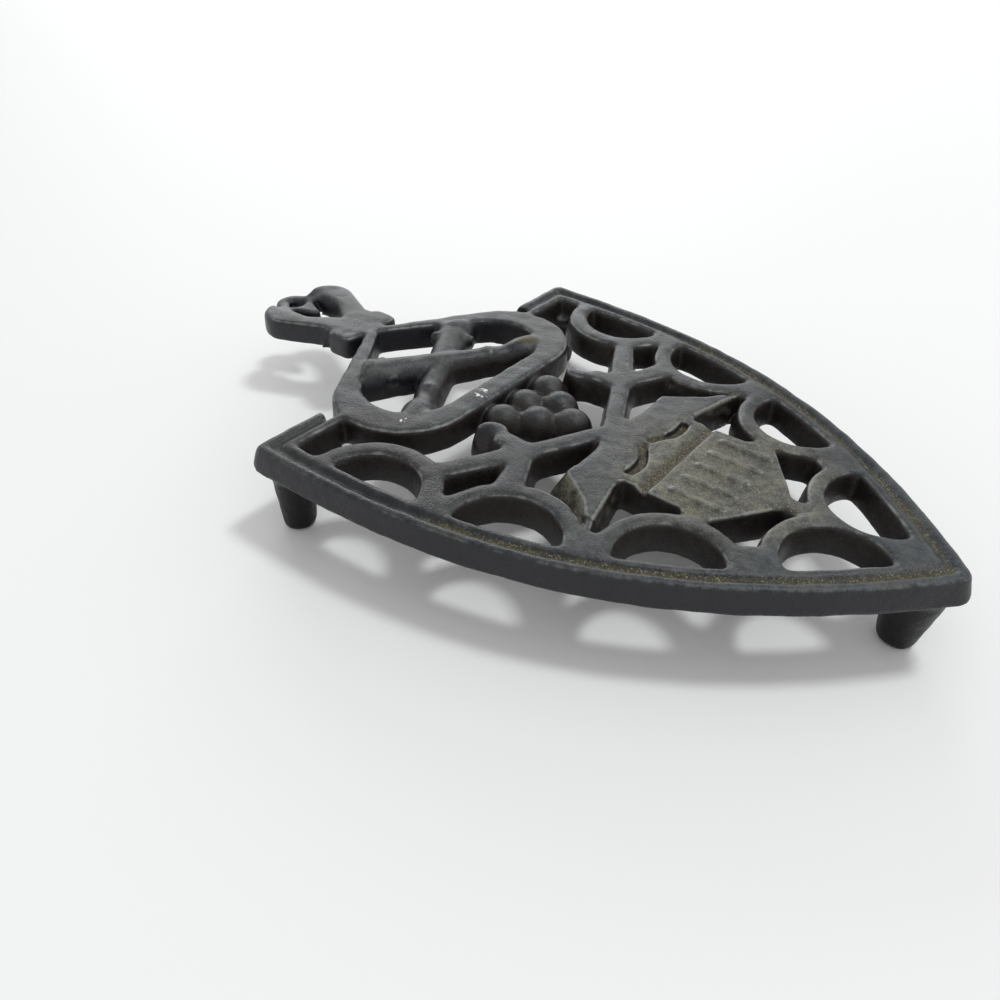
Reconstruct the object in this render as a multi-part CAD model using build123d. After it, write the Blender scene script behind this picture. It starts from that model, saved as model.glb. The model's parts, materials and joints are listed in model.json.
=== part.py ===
"""Cast-iron flatiron trivet with a heart handle, as the named sections of its casting.

Frame: +X runs from the heart handle to the nose, +Z is up, and the mirror plane is Y = 0.
The left side is +Y. The origin is on the table, under the middle of the overall length.
In the plan drawings below, x is measured from the heel edge of the rim towards the nose,
and each paired section is drawn on the right side and mirrored to the left.
"""
import math
import os

from build123d import *

# Heights
stand_height = 18.4
casting_thickness = 6.4
handle_thickness = 5.6

# Flatiron rim: size of its top edge, fullness of the side curve, and its cross-section
heel_half_width = 48.9
nose_reach = 115.2
shoulder_half_width = 45.2
heel_corner_radius = 1.2
nose_radius = 2.4
rim_bead = 1.7
rim_groove = 1.7
rim_ledge = 1.9
groove_depth = 0.9
wall_flare = 1.7
wall_height = 4.4
wall_undercut = 2.6
bead_round = 0.3
bead_drop = 0.25

# Notch between each heel bar and the handle loop
notch_depth = 2.9
notch_width = 2.6

# Handle loop: a rounded triangle that frames the crossed cannon, with arms that taper to its apex
loop_apex = 16.7
loop_apex_radius = 1.0
loop_apex_bar = 3.2
loop_shoulder_x = 4.5
loop_shoulder_y = 17.0
loop_shoulder_radius = 25.0
loop_front = 17.2
loop_bar = 5.9
loop_corner_half_width = 37.6
loop_corner_radius = 10.5
loop_corner_bar = 4.85
loop_arm_angle = 58.8

# Collar between the loop and the heart
collar_seat = 1.7
collar_length = 7.5
collar_width = 16.8
collar_corner_radius = 1.8

# Heart: two lobes that curl in to the centre line, where the casting dips and has a round dish
heart_length = 21.6
heart_lobe_radius = 6.4
heart_lobe_offset = 6.0
heart_neck_width = 4.6
heart_end_bar = 2.8
heart_eye_half_width = 6.8
heart_eye_corner_radius = 3.2
heart_eye_shoulder = 9.2
heart_eye_shoulder_radius = 6.0
heart_crotch = 0.6
heart_curl_radius = 4.3
heart_curl_overhang = 4.2
heart_curl_length = 12.6
heart_curl_tip = 2.4
heart_curl_drop = 1.7
heart_curl_slope = 3.0
heart_dish_rim = 0.9
heart_dish_depth = 2.4

# Crossed cannon: round barrels with trunnions, on straight walls that reach the underside
cannon_crossing = 2.8
cannon_angle = 61.0
breech_radius = 4.3
waist_radius = 2.8
muzzle_radius = 2.5
ring_height = 0.4
muzzle_flare = 1.3
base_ring_length = 2.6
muzzle_bell_length = 8.0
band_length = 1.2
band_offset = 11.0
trunnion_offset = 12.3
trunnion_radius = 1.4
trunnion_reach = 0.9
trunnion_lift = 1.6
cannon_axis_drop = 3.3
cannon_crossing_lift = 0.3

# Pile of cannonballs against the front of the loop
ball_radius = 4.2
ball_pitch = 7.8
ball_row_pitch = 5.9
ball_seat = 0.3
ball_rise = 0.1
ball_bed_margin = 0.4
ball_rows = 3

# Arches along the rim, from heel to nose, and the webs that fill the space between two.
# The first stands off the heel and the last off the nose. The places of the other two are shares of
# the way between them. An inset runs from the rim's inner edge to the centre of the arch.
arch_1_x = 24.6
arch_1_inset = -0.9
arch_1_radius = 9.5
arch_1_bar = 4.2
arch_2_share = 0.366
arch_2_inset = -0.5
arch_2_radius = 10.0
arch_2_bar = 3.6
arch_3_share = 0.707
arch_3_inset = 1.0
arch_3_radius = 9.2
arch_3_bar = 3.3
arch_4_setback = 18.0
arch_4_radius = 9.2
arch_4_bar = 3.1
nose_web = 1.4
nose_plate_offset = 5.1
web_depth = 4.2

# Scrolls: an arm from the centre line, a hooked curl and two legs on the arches
scroll_root_x = 48.2
scroll_arm_bar = 4.0
scroll_elbow_x = 39.8
scroll_elbow_y = 16.9
scroll_elbow_bar = 5.2
hook_x = 30.3
hook_y = 15.6
hook_radius = 3.3
hook_bar = 3.8
rear_leg_angle = 60.0
rear_leg_bar = 4.2
front_leg_angle = 125.0
front_leg_bar = 3.4
front_leg_foot_bar = 6.0

# Wings on both sides of the centre line
wing_root_x = 47.4
wing_edge_x = 49.5
wing_corner_y = 17.3
wing_corner_radius = 1.2
wing_belly_x = 56.6
wing_belly_y = 22.5
wing_waist_x = 58.4
wing_waist_y = 15.0

# Shield: a scalloped top edge with a groove in each wing along it, a chief that falls away in a valley,
# and a ribbed field
shield_peak_x = 56.3
shield_top_x = 59.0
shield_half_width = 13.2
shield_scallop_depth = 1.3
shield_scallop_radius = 8.0
scallop_groove_width = 2.1
scallop_groove_depth = 1.5
scallop_groove_ridge = 0.7
scallop_groove_end = 2.0
shield_tie_angle = 103.0
shield_tie_spread = 3.0
shield_neck_length = 3.5
shield_neck_width = 3.6
chief_length = 5.0
chief_recess = 0.15
valley_width = 3.2
valley_depth = 1.5
field_recess = 0.4
shield_ribs = 5
rib_width = 1.1
rib_height = 0.45
rib_pitch = 4.9
rib_setback = 2.6
rib_overlap = 4.0

# Feet
foot_root_radius = 4.3
foot_sole_radius = 3.2
foot_sole_round = 0.9
heel_foot_x = 4.9
heel_foot_inset = 4.0
nose_foot_setback = 6.8
nose_foot_root_radius = 5.4

# Worked-out places
top = stand_height
underside = stand_height - casting_thickness
wall_foot = stand_height - wall_height
handle_underside = stand_height - handle_thickness
rim_width = rim_bead + rim_groove + rim_ledge
loop_front_outer = loop_front + loop_bar
loop_back_outer = loop_apex + loop_apex_bar
loop_corner_angle = math.atan2(loop_front + loop_shoulder_x, loop_corner_half_width - loop_shoulder_y)
loop_front_half_width = loop_corner_half_width - loop_corner_radius / math.tan(loop_corner_angle / 2)
collar_front = -loop_apex - collar_seat
collar_back = collar_front - collar_length
heart_lobe_back = collar_back - heart_length
heart_back = heart_lobe_back - heart_curl_overhang
chief_end_x = shield_top_x + chief_length
arch_4_x = nose_reach - arch_4_setback
arch_2_x = arch_1_x + (arch_4_x - arch_1_x) * arch_2_share
arch_3_x = arch_1_x + (arch_4_x - arch_1_x) * arch_3_share
arch_4_y = arch_4_radius + nose_web / 2
nose_plate_start = arch_4_x + nose_plate_offset
far_away = 4 * nose_reach


def arch_centre(x, inset):
    """Centre of an arch at x on the right side, set in from the inner edge of the rim."""
    along = x / nose_reach
    heel_share = heel_half_width * (1 - along) ** 2 * (1 + 2 * along)
    shoulder_share = 3 * shoulder_half_width * along ** 2 * (1 - along)
    return Vector(x, rim_width + inset - heel_share - shoulder_share)


arches = (
    (arch_centre(arch_1_x, arch_1_inset), arch_1_radius, arch_1_bar),
    (arch_centre(arch_2_x, arch_2_inset), arch_2_radius, arch_2_bar),
    (arch_centre(arch_3_x, arch_3_inset), arch_3_radius, arch_3_bar),
    (Vector(arch_4_x, -arch_4_y), arch_4_radius, arch_4_bar),
)


def rounded(*corners):
    """Plan face of a closed outline whose corners are (x, y) or (x, y, radius)."""
    points = [Vector(corner[0], corner[1]) for corner in corners]
    radii = [corner[2] if len(corner) > 2 else 0.0 for corner in corners]
    stretches = []
    for index, (point, radius) in enumerate(zip(points, radii)):
        before = (points[index - 1] - point).normalized()
        after = (points[(index + 1) % len(points)] - point).normalized()
        half_angle = math.radians(before.get_angle(after)) / 2
        setback = radius / math.tan(half_angle)
        middle = point
        if radius:
            middle += (before + after).normalized() * (radius / math.sin(half_angle) - radius)
        stretches.append((point + before * setback, middle, point + after * setback))
    edges = []
    for index, (start, middle, end) in enumerate(stretches):
        if radii[index]:
            edges.append(Edge.make_three_point_arc(start, middle, end))
        edges.append(Edge.make_line(end, stretches[(index + 1) % len(stretches)][0]))
    return Sketch() + Face(Wire(edges))


def disc(centre, radius):
    """Plan of a round disc."""
    return Pos(centre.X, centre.Y) * Circle(radius)


def bar(start, start_width, end, end_width):
    """Plan of a tapered bar with round ends."""
    ends = disc(start, start_width / 2) + disc(end, end_width / 2)
    return make_hull(ends.edges())


def slab(plan, low=underside, high=top):
    """Straight-sided solid on a plan."""
    return extrude(Pos(0, 0, low) * plan, high - low, dir=(0, 0, 1))


def half_plane(side):
    """Plan of everything on one side of the mirror plane: +1 is the left, -1 the right."""
    return Pos(0, side * far_away / 2) * Rectangle(2 * far_away, far_away)


def mirrored(shape):
    """The same shape on the other side of the mirror plane."""
    return mirror(shape, about=Plane.XZ)


def beyond(x):
    """Plan of everything further towards the nose than x."""
    return Pos(x + far_away / 2, 0) * Rectangle(far_away, 2 * far_away)


def on_arch(number, angle):
    """Point on the middle of an arch's bar, at an angle from +X towards the centre line."""
    centre, radius, width = arches[number - 1]
    turn = math.radians(angle)
    return centre + Vector(math.cos(turn), math.sin(turn)) * (radius + width / 2)


def arch_disc(number):
    """Plan of an arch with its opening filled."""
    centre, radius, width = arches[number - 1]
    return disc(centre, radius + width)


def web_tip(number):
    """Point where the web between an arch and the next one starts."""
    here = arches[number - 1][0]
    following = arches[number][0]
    along = (following - here).normalized()
    return (here + following) / 2 + Vector(-along.Y, along.X) * web_depth


def rim_outline(growth=0.0):
    """Flatiron outline of the rim's top edge, moved outwards by the given amount.

    The control polygon of the side curve moves parallel to itself.
    """
    shoulder_x = nose_reach * 2 / 3
    cheek_angle = math.atan2(shoulder_half_width, nose_reach - shoulder_x)
    side = heel_half_width + growth
    shoulder = (shoulder_x + growth * math.tan(cheek_angle / 2), shoulder_half_width + growth)
    nose = (nose_reach + growth / math.sin(cheek_angle), 0)
    left = Bezier((-growth, side), (nose_reach / 3, side), shoulder, nose)
    right = Bezier(nose, (shoulder[0], -shoulder[1]), (nose_reach / 3, -side), (-growth, -side))
    outline = make_face([left, right, Line((-growth, -side), (-growth, side))])
    if nose_radius + growth > 0:
        outline = fillet(outline.vertices().sort_by(Axis.X)[-1], nose_radius + growth)
    if heel_corner_radius + growth > 0:
        outline = fillet(outline.vertices().group_by(Axis.X)[0], heel_corner_radius + growth)
    return outline


def loop_opening():
    """Opening of the loop: a triangle with bowed arms and rounded corners."""
    return rounded((-loop_apex, 0, loop_apex_radius),
                   (-loop_shoulder_x, loop_shoulder_y, loop_shoulder_radius),
                   (loop_front, loop_corner_half_width, loop_corner_radius),
                   (loop_front, -loop_corner_half_width, loop_corner_radius),
                   (-loop_shoulder_x, -loop_shoulder_y, loop_shoulder_radius))


def loop_outline(growth=0.0):
    """Outside of the loop: a triangle with rounded front corners, moved outwards by the given amount."""
    arm_angle = math.radians(loop_arm_angle)
    back = -loop_back_outer - growth / math.sin(arm_angle)
    front = loop_front_outer + growth
    half_width = (front - back) * math.tan(arm_angle)
    corner_radius = loop_corner_radius + loop_corner_bar + growth
    return rounded((back, 0), (front, half_width, corner_radius), (front, -half_width, corner_radius))


def rim_sections():
    """Base bars and side rails, with a bead, a groove, an inner ledge and an undercut outer wall."""
    blank = loft([Pos(0, 0, underside) * rim_outline(wall_flare - wall_undercut),
                  Pos(0, 0, wall_foot) * rim_outline(wall_flare),
                  Pos(0, 0, top - bead_drop) * rim_outline(bead_round),
                  Pos(0, 0, top) * rim_outline()], ruled=True)
    groove = rim_outline(-rim_bead) - rim_outline(-rim_bead - rim_groove)
    rim = blank - slab(rim_outline(-rim_width)) - slab(groove, top - groove_depth)
    rails = slab(beyond(rim_width)) & rim
    notch = loop_outline(notch_width) - beyond(notch_depth)
    base = rim - slab(beyond(rim_width)) - slab(loop_outline() + notch)
    right = slab(half_plane(-1))
    return {"rim_rail": rails & right, "base_bar": base & right}


def nose_plate():
    """Flat plate that closes the rim's nose, ahead of the last pair of arches."""
    plan = rim_outline(-rim_width) & beyond(nose_plate_start)
    for side in (1, -1):
        plan -= disc(Vector(arch_4_x, side * arch_4_y), arch_4_radius)
    return slab(plan)


def arch_section(number):
    """One arch, with the web that joins it to the next arch."""
    centre, radius, width = arches[number - 1]
    plan = arch_disc(number)
    if number < len(arches):
        following = arches[number][0]
        tip = web_tip(number)
        root = centre + following - tip
        plan += rounded((centre.X, centre.Y), (root.X, root.Y), (following.X, following.Y), (tip.X, tip.Y))
        plan -= arch_disc(number + 1)
    else:
        plan -= beyond(nose_plate_start)
    return (plan - disc(centre, radius)) & rim_outline(-rim_width) & half_plane(-1)


def loop_sections():
    """Front bar and side arms of the handle loop."""
    ring = loop_outline() - loop_opening() - collar_plan()
    front = beyond(loop_front) & Rectangle(far_away, 2 * loop_front_half_width)
    arms = (ring - front) & half_plane(-1)
    return {"loop_front_bar": slab(ring & front), "loop_arm": slab(arms)}


def collar_plan():
    """Plan of the collar that crosses the apex of the loop."""
    middle = (collar_front + collar_back) / 2
    return Pos(middle, 0) * RectangleRounded(collar_length, collar_width, collar_corner_radius)


def heart_lobe():
    """Right half of the heart, curled in to the centre line."""
    neck = Vector(collar_back + heart_neck_width / 2, -heart_neck_width / 2)
    lobe = Vector(heart_lobe_back + heart_lobe_radius, -heart_lobe_offset)
    body = bar(neck, heart_neck_width, lobe, 2 * heart_lobe_radius)
    eye_front = collar_back - heart_crotch
    eye_back = heart_lobe_back + heart_end_bar
    eye = rounded((eye_front, 0), (eye_back, 0),
                  (eye_back, -heart_eye_half_width, heart_eye_corner_radius),
                  (eye_front - heart_eye_shoulder, -heart_eye_half_width, heart_eye_shoulder_radius))
    curl_start = Vector(heart_back + heart_curl_radius, 0)
    curl_end = Vector(heart_back + heart_curl_length, 0)
    curl = bar(curl_start, 2 * heart_curl_radius, curl_end, heart_curl_tip)
    plan = (body - eye + curl - collar_plan()) & half_plane(-1)
    dip_bottom = top - heart_curl_drop
    dip_width = heart_curl_radius + heart_curl_slope
    dip = Polygon((-heart_curl_radius, dip_bottom), (heart_curl_radius, dip_bottom), (dip_width, top),
                  (dip_width, top + heart_curl_drop), (-dip_width, top + heart_curl_drop), (-dip_width, top),
                  align=None)
    dip_solid = extrude(Plane.YZ * dip, far_away, dir=(-1, 0, 0))
    lobe_solid = slab(plan, handle_underside) - Pos(curl_end.X + heart_curl_tip) * dip_solid
    dish_width = heart_curl_radius - heart_dish_rim
    dish_radius = (dish_width ** 2 + heart_dish_depth ** 2) / (2 * heart_dish_depth)
    dish_height = dip_bottom - heart_dish_depth + dish_radius
    return lobe_solid - Pos(curl_start.X, 0, dish_height) * Sphere(dish_radius)


def cannon(turn, lift):
    """One barrel on its wall, from side to side of the loop's opening, pointing at the given angle."""
    heading = Vector(math.cos(math.radians(turn)), math.sin(math.radians(turn)))
    crossing = Vector(cannon_crossing, 0)
    line = Edge.make_line(crossing - heading * far_away, crossing + heading * far_away)
    inside = (line & loop_opening().face()).edges()[0]
    breech, muzzle = sorted((inside @ 0, inside @ 1), key=lambda point: (point - crossing).dot(heading))
    start = (breech - crossing).dot(heading)
    finish = (muzzle - crossing).dot(heading)
    overrun = 2 * breech_radius
    breech_ring = breech_radius + ring_height
    band = waist_radius + ring_height
    muzzle_ring = muzzle_radius + muzzle_flare
    axis_height = top - cannon_axis_drop + lift
    profile = Polyline(
        (start - overrun, 0), (start - overrun, breech_ring), (start + base_ring_length, breech_ring),
        (start + base_ring_length, breech_radius), (band_offset, waist_radius), (band_offset, band),
        (band_offset + band_length, band), (band_offset + band_length, waist_radius),
        (finish - muzzle_bell_length, muzzle_radius), (finish - muzzle_bell_length / 2, muzzle_ring),
        (finish + overrun, muzzle_ring), (finish + overrun, 0), close=True)
    barrel = Pos(0, 0, axis_height) * revolve(make_face(profile), Axis.X)
    trunnions = Cylinder(trunnion_radius, 2 * (breech_radius + trunnion_reach))
    barrel += Pos(-trunnion_offset, 0, axis_height + trunnion_lift) * Rot(90, 0, 0) * trunnions
    wall_plan = Polygon((start - overrun, -breech_radius), (finish + overrun, -muzzle_radius),
                        (finish + overrun, muzzle_radius), (start - overrun, breech_radius), align=None)
    placed = Pos(cannon_crossing, 0, 0) * Rot(0, 0, turn) * (barrel + slab(wall_plan, underside, axis_height))
    return placed & slab(loop_opening(), underside, top + 2 * breech_radius)


def cannon_sections():
    """Both barrels, halved into each other where they cross."""
    over = cannon(cannon_angle, cannon_crossing_lift)
    under = cannon(-cannon_angle, -cannon_crossing_lift)
    halving = (underside + top - cannon_axis_drop) / 2
    lower = slab(loop_opening(), underside, halving)
    return {"cannon_over": over - (under & lower), "cannon_under": under - (over - lower)}


def ball_centres():
    """Plan centres of the balls, row by row from the loop towards the nose."""
    first_x = loop_front_outer + ball_radius - ball_seat
    return [Vector(first_x + row * ball_row_pitch, (place - (ball_rows - row - 1) / 2) * ball_pitch)
            for row in range(ball_rows) for place in range(ball_rows - row)]


def ball(centre):
    """One domed ball on its share of the bed, cut flat where it meets its neighbours and the loop."""
    dome_height = top + ball_rise - ball_radius
    bed = disc(centre, ball_radius + ball_bed_margin)
    gap = centre.X - loop_front_outer
    if gap < ball_radius:
        bed += Pos(loop_front_outer + gap / 2, centre.Y) * Rectangle(gap, ball_pitch)
    body = slab(bed, underside, dome_height)
    body += Pos(centre.X, centre.Y, dome_height) * Sphere(ball_radius)
    body &= slab(beyond(loop_front_outer), underside, top + ball_radius)
    for other in ball_centres():
        if other != centre:
            away = other - centre
            cut = Plane((centre + other) / 2, z_dir=away)
            body -= cut * Box(far_away, far_away, far_away, align=(Align.CENTER, Align.CENTER, Align.MIN))
    return body


def shield_plan():
    """Plan of the whole shield, from its peak to the neck that ties it to the nose arches."""
    tie = on_arch(3, shield_tie_angle)
    neck_end = arch_4_x - arch_4_radius + arch_4_bar
    neck_x = arch_4_x - arch_4_radius - shield_neck_length
    half_neck = shield_neck_width / 2
    scallop_y = shield_half_width / 2
    right = rounded((shield_peak_x, 0), (neck_end, 0), (neck_end, -half_neck), (neck_x, -half_neck),
                    (tie.X + shield_tie_spread, -shield_half_width), (tie.X, tie.Y),
                    (tie.X - shield_tie_spread, -shield_half_width),
                    (shield_top_x, -shield_half_width),
                    (shield_top_x + shield_scallop_depth, -scallop_y, shield_scallop_radius))
    return right + mirrored(right)


def shield_sections(casting):
    """Chief with its valley and ribbed field of the shield, trimmed to the arches around it."""
    plan = shield_plan() - casting
    field_top = top - field_recess
    field = slab(plan & beyond(chief_end_x), underside, field_top)
    rib_start_x = chief_end_x + rib_setback
    rib_end_x = on_arch(3, shield_tie_angle).X + rib_overlap
    rib_length = rib_end_x - rib_start_x
    for rib in range(shield_ribs):
        rib_y = (rib - (shield_ribs - 1) / 2) * rib_pitch
        strip = Pos((rib_start_x + rib_end_x) / 2, rib_y) * SlotOverall(rib_length, rib_width)
        field += slab(strip & plan, field_top, field_top + rib_height)
    chief = slab(plan - beyond(chief_end_x), underside, top - chief_recess)
    valley = Polygon((chief_end_x - valley_width, top), (chief_end_x, top - valley_depth),
                     (chief_end_x, top), align=None)
    chief -= extrude(Plane.XZ * valley, far_away, both=True)
    return {"shield_chief": chief, "shield_field": field}


def scallop_groove():
    """Plan of the groove in the right wing along the scalloped edge of the shield."""
    low = scallop_groove_end - shield_half_width
    high = -scallop_groove_ridge
    strip = Pos(0, (low + high) / 2) * Rectangle(far_away, high - low)
    return (Pos(-scallop_groove_width, 0) * shield_plan() & strip) - shield_plan()


def wing_plan():
    """Plan of the right wing, from the centre line out to the web between two arches."""
    tip = web_tip(2)
    scallop_x = shield_top_x + shield_scallop_depth
    wing = rounded((wing_root_x, 0), (wing_edge_x, -wing_corner_y / 2),
                   (wing_edge_x, -wing_corner_y, wing_corner_radius), (wing_belly_x, -wing_belly_y),
                   (tip.X, tip.Y), (wing_waist_x, -wing_waist_y),
                   (shield_top_x, -shield_half_width), (scallop_x, -shield_half_width / 2), (scallop_x, 0))
    return wing & half_plane(-1)


def scroll_plan():
    """Plan of the right scroll: arm, hooked curl and the legs on the first two arches."""
    root = Vector(scroll_root_x, 0)
    elbow = Vector(scroll_elbow_x, -scroll_elbow_y)
    hook = Vector(hook_x, -hook_y)
    plan = bar(root, scroll_arm_bar, elbow, scroll_arm_bar)
    plan += bar(elbow, scroll_elbow_bar, hook, hook_bar)
    plan += disc(hook, hook_radius)
    plan += bar(elbow, scroll_elbow_bar, on_arch(1, rear_leg_angle), rear_leg_bar)
    plan += bar(elbow, front_leg_bar, on_arch(2, front_leg_angle), front_leg_foot_bar)
    return plan & half_plane(-1)


def foot(x, y, root_radius):
    """One tapered foot with a rounded sole, whose root runs up to the foot of the rim's wall."""
    peg = Cone(foot_sole_radius, root_radius, underside, align=(Align.CENTER, Align.CENTER, Align.MIN))
    sole_edge = peg.edges().sort_by(Axis.Z)[0]
    root = slab(Circle(root_radius), underside, wall_foot)
    return Pos(x, y, 0) * (fillet(sole_edge, foot_sole_round) + root)


def trivet():
    """Every section of the casting by name."""
    whole = {"nose_plate": nose_plate(), "handle_collar": slab(collar_plan(), handle_underside)}
    right = rim_sections()
    right["heart_lobe"] = heart_lobe()
    loop = loop_sections()
    whole["loop_front_bar"] = loop["loop_front_bar"]
    right["loop_arm"] = loop["loop_arm"]

    whole.update(cannon_sections())
    for number, centre in enumerate(ball_centres(), start=1):
        whole["cannonball_" + str(number)] = ball(centre)

    openwork = Sketch()
    for number in range(1, len(arches) + 1):
        plan = arch_section(number)
        right["arch_" + str(number)] = slab(plan)
        openwork += plan
    whole.update(shield_sections(openwork + mirrored(openwork)))
    wing = wing_plan() - shield_plan() - arch_disc(2) - arch_disc(3) - openwork
    right["wing"] = slab(wing) - slab(scallop_groove(), top - scallop_groove_depth)
    right["scroll"] = slab(scroll_plan() - wing - arch_disc(1) - arch_disc(2) - openwork)
    heel_foot = foot(heel_foot_x, heel_foot_inset - heel_half_width, foot_root_radius)
    right["heel_foot"] = heel_foot - right["rim_rail"] - right["base_bar"]
    nose_foot = foot(nose_reach - nose_foot_setback, 0, nose_foot_root_radius) - whole["nose_plate"]
    whole["nose_foot"] = nose_foot - right["rim_rail"] - mirrored(right["rim_rail"])
    for name, solid in right.items():
        whole[name + "_right"] = solid
        whole[name + "_left"] = mirrored(solid)
    return whole


nose_tip = rim_outline(wall_flare).bounding_box().max.X
to_origin = Pos(-(nose_tip + heart_back) / 2, 0, 0)
os.makedirs("parts", exist_ok=True)
for node, solid in trivet().items():
    export_step(to_origin * solid, "parts/" + node + ".step")
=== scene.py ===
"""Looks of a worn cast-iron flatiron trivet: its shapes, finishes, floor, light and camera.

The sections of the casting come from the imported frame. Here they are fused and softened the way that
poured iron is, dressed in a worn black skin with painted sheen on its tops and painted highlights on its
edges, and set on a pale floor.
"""
from __future__ import annotations

import json
import logging
import math
from dataclasses import dataclass, field
from enum import Enum
from functools import cached_property

import bmesh
import bpy
import numpy as np
from bpy.types import Material, Mesh, Node, NodeSocket, NodeTree, Object
from mathutils import Matrix, Vector
from mathutils.kdtree import KDTree

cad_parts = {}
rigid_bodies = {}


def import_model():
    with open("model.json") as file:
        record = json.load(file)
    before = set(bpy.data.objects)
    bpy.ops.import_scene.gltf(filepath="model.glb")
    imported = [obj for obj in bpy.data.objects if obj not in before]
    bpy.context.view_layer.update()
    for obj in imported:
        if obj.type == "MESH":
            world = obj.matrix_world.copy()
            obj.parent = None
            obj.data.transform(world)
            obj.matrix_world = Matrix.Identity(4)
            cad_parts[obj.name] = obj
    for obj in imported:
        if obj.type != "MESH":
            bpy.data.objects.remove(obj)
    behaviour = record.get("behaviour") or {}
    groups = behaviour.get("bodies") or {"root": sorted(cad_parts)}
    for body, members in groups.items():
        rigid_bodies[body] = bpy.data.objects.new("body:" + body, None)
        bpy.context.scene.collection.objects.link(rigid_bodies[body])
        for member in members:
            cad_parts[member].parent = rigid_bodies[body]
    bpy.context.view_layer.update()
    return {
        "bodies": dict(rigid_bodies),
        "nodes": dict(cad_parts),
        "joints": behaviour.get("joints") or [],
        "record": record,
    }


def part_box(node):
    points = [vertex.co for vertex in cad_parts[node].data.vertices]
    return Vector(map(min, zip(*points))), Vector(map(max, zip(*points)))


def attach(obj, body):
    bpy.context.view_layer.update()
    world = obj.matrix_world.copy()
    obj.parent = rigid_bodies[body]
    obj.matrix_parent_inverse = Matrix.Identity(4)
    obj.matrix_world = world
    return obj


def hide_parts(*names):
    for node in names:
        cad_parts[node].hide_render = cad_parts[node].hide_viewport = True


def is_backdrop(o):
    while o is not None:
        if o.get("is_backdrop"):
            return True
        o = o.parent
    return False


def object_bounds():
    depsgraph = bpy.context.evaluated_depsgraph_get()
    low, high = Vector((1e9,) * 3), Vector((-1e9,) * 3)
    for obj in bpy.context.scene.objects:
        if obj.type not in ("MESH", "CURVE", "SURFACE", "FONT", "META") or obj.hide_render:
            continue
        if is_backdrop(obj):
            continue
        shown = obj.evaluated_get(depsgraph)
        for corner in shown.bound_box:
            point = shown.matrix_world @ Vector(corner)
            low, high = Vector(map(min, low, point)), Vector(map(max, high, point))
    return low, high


MM = 0.001
BODY = "root"
SEED = 7
Colour = tuple[float, float, float]
Point = tuple[float, float, float]
Pair = tuple[float, float]
Plan = list[tuple[float, float]]

log = logging.getLogger("trivet")


class Mark(Enum):
    """Names of the surface attributes that the finishes read."""

    # Bright edges: metal worn through, and painted highlight.
    EDGE = "edge"
    CREVICE = "crevice"
    SETTLED = "settled"
    # Lighter tops: worn surface and painted sheen.
    TOP = "top"
    # Dust, and painted light on the wings' sloping faces.
    DUST = "dust"
    INNER = "inner"


class Side(Enum):
    """The two sides of the mirror plane."""

    LEFT = "left"
    RIGHT = "right"


@dataclass(frozen=True)
class Stain:
    """A local stain or cluster of flecks.

    Attributes:
        centre: Its middle in the frame of the part, in metres.
        radius: Its reach, in metres.
        colour: Its colour.
        grain: Noise scale that breaks it up, per metre.
        cover: Share of the area inside the radius that it covers.
    """

    centre: Point
    radius: float
    colour: Colour
    grain: float
    cover: float


@dataclass(frozen=True)
class IronFinish:
    """A worn black cast-iron skin, with painted sheen on its tops and painted highlights on its edges.

    Attributes:
        name: Name of the material.
        skin: Colour of the black skin on outer walls.
        shade: Browner colour of the skin on inner walls.
        rubbed: Colour of the top faces, worn smooth by pots and also lightened and blued as a painted sheen.
        stale: Colour of the patches on them that have gone dull.
        dusty: Colour of tops that hold dry dust; on the wings' sloping faces it is also painted light.
        grit: Colour of single grains in the dust.
        bare: Colour of the metal worn through on the edges, also a painted highlight along them.
        dirt: Colour of the dirt in hollows.
        edge_wear: How far that metal and the painted highlight spread from the edges.
        dirtiness: How much dirt lies in the hollows.
        grain_height: Depth of the sand-cast grain, in metres.
        sheen: Strength of its reflections.
        stains: Local stains and flecks.
    """

    name: str
    skin: Colour = (0.0070, 0.0073, 0.0108)
    shade: Colour = (0.0125, 0.0098, 0.0090)
    rubbed: Colour = (0.0325, 0.0430, 0.0530)
    stale: Colour = (0.0410, 0.0465, 0.0460)
    dusty: Colour = (0.118, 0.119, 0.090)
    grit: Colour = (0.27, 0.25, 0.165)
    bare: Colour = (0.27, 0.28, 0.28)
    dirt: Colour = (0.058, 0.050, 0.028)
    edge_wear: float = 0.60
    dirtiness: float = 0.85
    grain_height: float = 0.00018
    sheen: float = 0.42
    stains: tuple[Stain, ...] = ()


class NodeWork:
    """Adds nodes to one tree and joins them."""

    def __init__(self, tree: NodeTree) -> None:
        """Keeps the tree that gets the nodes."""
        self.tree = tree

    def feed(self, socket: NodeSocket, value) -> None:
        """Joins a socket to another, or sets its value."""
        if isinstance(value, NodeSocket):
            self.tree.links.new(value, socket)
        else:
            socket.default_value = value

    def fill(self, node: Node, inputs: dict) -> Node:
        """Joins or sets a node's inputs, named with underscores for blanks, and gives the node back."""
        for label, value in inputs.items():
            self.feed(node.inputs[label.replace("_", " ")], value)
        return node

    def add(self, kind: str, **inputs) -> Node:
        """Adds a node.

        Args:
            kind: Type of the node.
            **inputs: Sockets or values by input name, with underscores for blanks.

        Returns:
            The node.
        """
        return self.fill(self.tree.nodes.new(kind), inputs)

    def maths(self, operation: str, *values) -> NodeSocket:
        """Adds a Math node.

        Args:
            operation: Name of the operation.
            *values: Sockets or numbers for its inputs.

        Returns:
            Its output.
        """
        node = self.tree.nodes.new("ShaderNodeMath")
        node.operation = operation
        for socket, value in zip(node.inputs, values):
            self.feed(socket, value)
        return node.outputs[0]


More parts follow.
